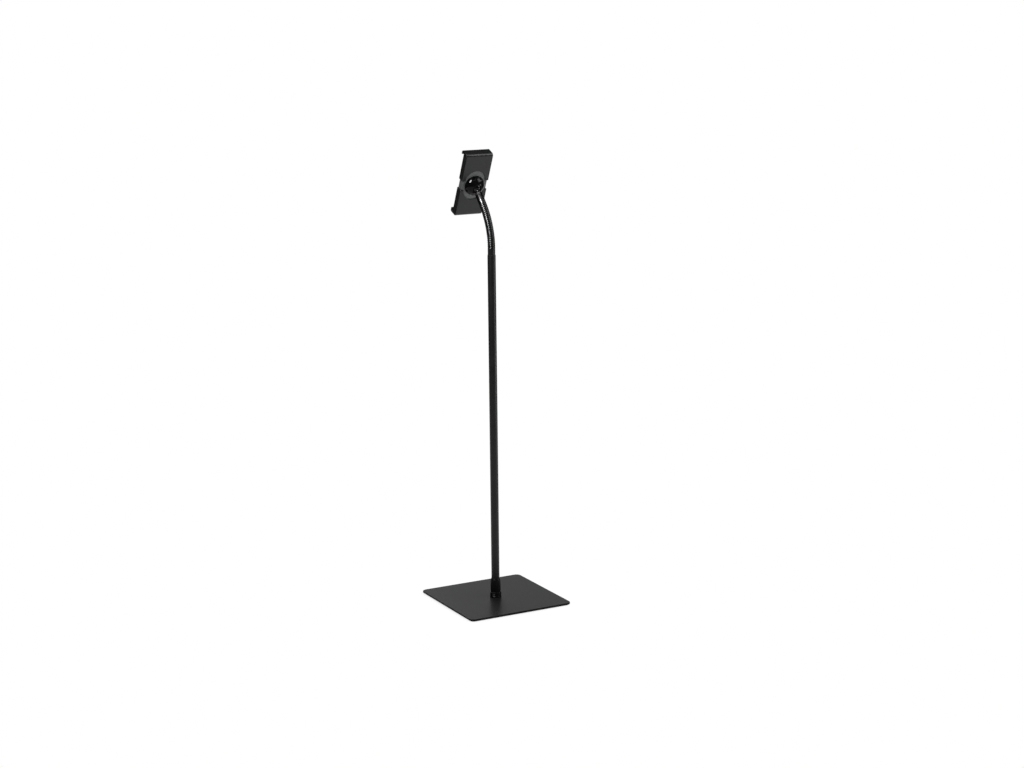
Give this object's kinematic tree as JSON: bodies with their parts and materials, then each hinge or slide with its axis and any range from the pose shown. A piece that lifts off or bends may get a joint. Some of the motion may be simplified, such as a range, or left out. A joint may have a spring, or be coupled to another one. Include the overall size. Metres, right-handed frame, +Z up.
{
  "type": "tablet floor stand",
  "caption": "Floor stand for a tablet: square weighted plate, round pole, bending gooseneck, ball joint and a spring clamp that opens evenly from its middle.",
  "frame": {"origin": "on the floor under the pole, at the middle of the plate's rubber mat", "axes": "+Z up the pole, -Y towards the person who looks at the screen, X across the clamp"},
  "size_m": [0.305, 0.312, 1.2192],
  "materials": {
    "plate_coat": "fine matt powder coat",
    "pole_coat": "satin black",
    "black_trim": "black, half gloss",
    "neck_black": "black plated, glossy",
    "steel": "plain steel",
    "dark_steel": "dark plated",
    "rubber_black": "matt",
    "jaw_plastic": "fine grain",
    "body_plastic": "fine grain, lighter than the jaws",
    "nut_plastic": "glossy",
    "white_plastic": "plain"
  },
  "bodies": {
    "stand": {"base_plate": "plate_coat", "base_mat": "rubber_black", "base_bolt": "steel", "base_hub": "black_trim", "pole_collar": "black_trim", "collar_set_screw": "steel", "pole_tube": "pole_coat", "pole_top_insert": "steel", "neck_lower_ferrule": "neck_black"},
    "neck_link_1": {"neck_link_1": "neck_black"},
    "neck_link_2": {"neck_link_2": "neck_black"},
    "neck_link_3": {"neck_link_3": "neck_black"},
    "neck_link_4": {"neck_link_4": "neck_black"},
    "neck_link_5": {"neck_link_5": "neck_black"},
    "neck_link_6": {"neck_link_6": "neck_black"},
    "neck_link_7": {"neck_link_7": "neck_black"},
    "neck_link_8": {"neck_link_8": "neck_black"},
    "neck_link_9": {"neck_link_9": "neck_black"},
    "neck_link_10": {"neck_link_10": "neck_black"},
    "neck_link_11": {"neck_link_11": "neck_black"},
    "neck_top": {"neck_upper_ferrule": "neck_black"},
    "ball": {"ball_stud": "dark_steel", "stud_lock_nut": "dark_steel"},
    "seat": {"ball_seat": "white_plastic"},
    "holder": {"holder_body": "body_plastic", "holder_cover": "body_plastic", "cover_screws": "steel", "gear_pin": "steel", "upper_spring": "steel", "lower_spring": "steel"},
    "nut": {"ring_nut": "nut_plastic"},
    "upper_clamp": {"upper_jaw": "jaw_plastic", "upper_jaw_pad": "rubber_black"},
    "lower_clamp": {"lower_jaw": "jaw_plastic", "lower_jaw_pad": "rubber_black"},
    "gear": {"sync_gear": "white_plastic"}
  },
  "joints": [
    {"name": "neck_bend_1", "type": "hinge", "parent": "stand", "child": "neck_link_1", "pos_m": [0, 0, 0.969], "axis": [1, 0, 0], "range_deg": [-19, 5]},
    {"name": "neck_sway_1", "type": "hinge", "parent": "neck_link_1", "child": "neck_link_2", "pos_m": [0, -0.00132, 0.97972], "axis": [0, 0.9925, 0.1219], "range_deg": [-12, 12]},
    {"name": "neck_bend_2", "type": "hinge", "parent": "neck_link_2", "child": "neck_link_3", "pos_m": [0, -0.00263, 0.99044], "axis": [1, 0, 0], "range_deg": [-19, 5]},
    {"name": "neck_sway_2", "type": "hinge", "parent": "neck_link_3", "child": "neck_link_4", "pos_m": [0, -0.00525, 1.00092], "axis": [0, 0.9703, 0.2419], "range_deg": [-12, 12]},
    {"name": "neck_bend_3", "type": "hinge", "parent": "neck_link_4", "child": "neck_link_5", "pos_m": [0, -0.00786, 1.0114], "axis": [1, 0, 0], "range_deg": [-19, 5]},
    {"name": "neck_sway_3", "type": "hinge", "parent": "neck_link_5", "child": "neck_link_6", "pos_m": [0, -0.01173, 1.02148], "axis": [0, 0.9336, 0.3584], "range_deg": [-12, 12]},
    {"name": "neck_bend_4", "type": "hinge", "parent": "neck_link_6", "child": "neck_link_7", "pos_m": [0, -0.0156, 1.03156], "axis": [1, 0, 0], "range_deg": [-19, 5]},
    {"name": "neck_sway_4", "type": "hinge", "parent": "neck_link_7", "child": "neck_link_8", "pos_m": [0, -0.02067, 1.0411], "axis": [0, 0.8829, 0.4695], "range_deg": [-12, 12]},
    {"name": "neck_bend_5", "type": "hinge", "parent": "neck_link_8", "child": "neck_link_9", "pos_m": [0, -0.02574, 1.05063], "axis": [1, 0, 0], "range_deg": [-19, 5]},
    {"name": "neck_sway_5", "type": "hinge", "parent": "neck_link_9", "child": "neck_link_10", "pos_m": [0, -0.03193, 1.05948], "axis": [0, 0.8192, 0.5736], "range_deg": [-12, 12]},
    {"name": "neck_bend_6", "type": "hinge", "parent": "neck_link_10", "child": "neck_link_11", "pos_m": [0, -0.03813, 1.06833], "axis": [1, 0, 0], "range_deg": [-19, 5]},
    {"name": "neck_sway_6", "type": "hinge", "parent": "neck_link_11", "child": "neck_top", "pos_m": [0, -0.04536, 1.07635], "axis": [0, 0.7431, 0.6691], "range_deg": [-12, 12]},
    {"name": "ball_spin", "type": "hinge", "parent": "neck_top", "child": "ball", "pos_m": [0, -0.0835, 1.11871], "axis": [0, -0.6691, 0.7431], "continuous": true},
    {"name": "ball_tilt", "type": "hinge", "parent": "ball", "child": "seat", "pos_m": [0, -0.0835, 1.11871], "axis": [1, 0, 0], "range_deg": [-56, 9]},
    {"name": "holder_turn", "type": "hinge", "parent": "seat", "child": "holder", "pos_m": [0, -0.0835, 1.11871], "axis": [0, 0.9107, -0.4131], "continuous": true},
    {"name": "ring_nut_turn", "type": "hinge", "parent": "holder", "child": "nut", "pos_m": [0, -0.0835, 1.11871], "axis": [0, 0.9107, -0.4131], "range_deg": [0, 90]},
    {"name": "upper_jaw_slide", "type": "slide", "parent": "holder", "child": "upper_clamp", "axis": [0, 0.4131, 0.9107], "range_m": [-0.0127, 0.018], "stiffness_N_per_m": 250, "springref_m": -0.045, "deforming": ["upper_spring"]},
    {"name": "lower_jaw_slide", "type": "slide", "parent": "holder", "child": "lower_clamp", "axis": [0, -0.4131, -0.9107], "range_m": [-0.0127, 0.018], "stiffness_N_per_m": 250, "springref_m": -0.045, "deforming": ["lower_spring"]},
    {"name": "gear_turn", "type": "hinge", "parent": "holder", "child": "gear", "pos_m": [0, -0.11355, 1.13235], "axis": [0, 0.9107, -0.4131], "range_deg": [-98, 138]}
  ],
  "couplings": [
    {"joint": "neck_bend_2", "follows": "neck_bend_1", "ratio": 1},
    {"joint": "neck_sway_2", "follows": "neck_sway_1", "ratio": 1},
    {"joint": "neck_bend_3", "follows": "neck_bend_1", "ratio": 1},
    {"joint": "neck_sway_3", "follows": "neck_sway_1", "ratio": 1},
    {"joint": "neck_bend_4", "follows": "neck_bend_1", "ratio": 1},
    {"joint": "neck_sway_4", "follows": "neck_sway_1", "ratio": 1},
    {"joint": "neck_bend_5", "follows": "neck_bend_1", "ratio": 1},
    {"joint": "neck_sway_5", "follows": "neck_sway_1", "ratio": 1},
    {"joint": "neck_bend_6", "follows": "neck_bend_1", "ratio": 1},
    {"joint": "neck_sway_6", "follows": "neck_sway_1", "ratio": 1},
    {"joint": "lower_jaw_slide", "follows": "upper_jaw_slide", "ratio": 1},
    {"joint": "gear_turn", "follows": "upper_jaw_slide", "rad_per_m": 133.33}
  ]
}
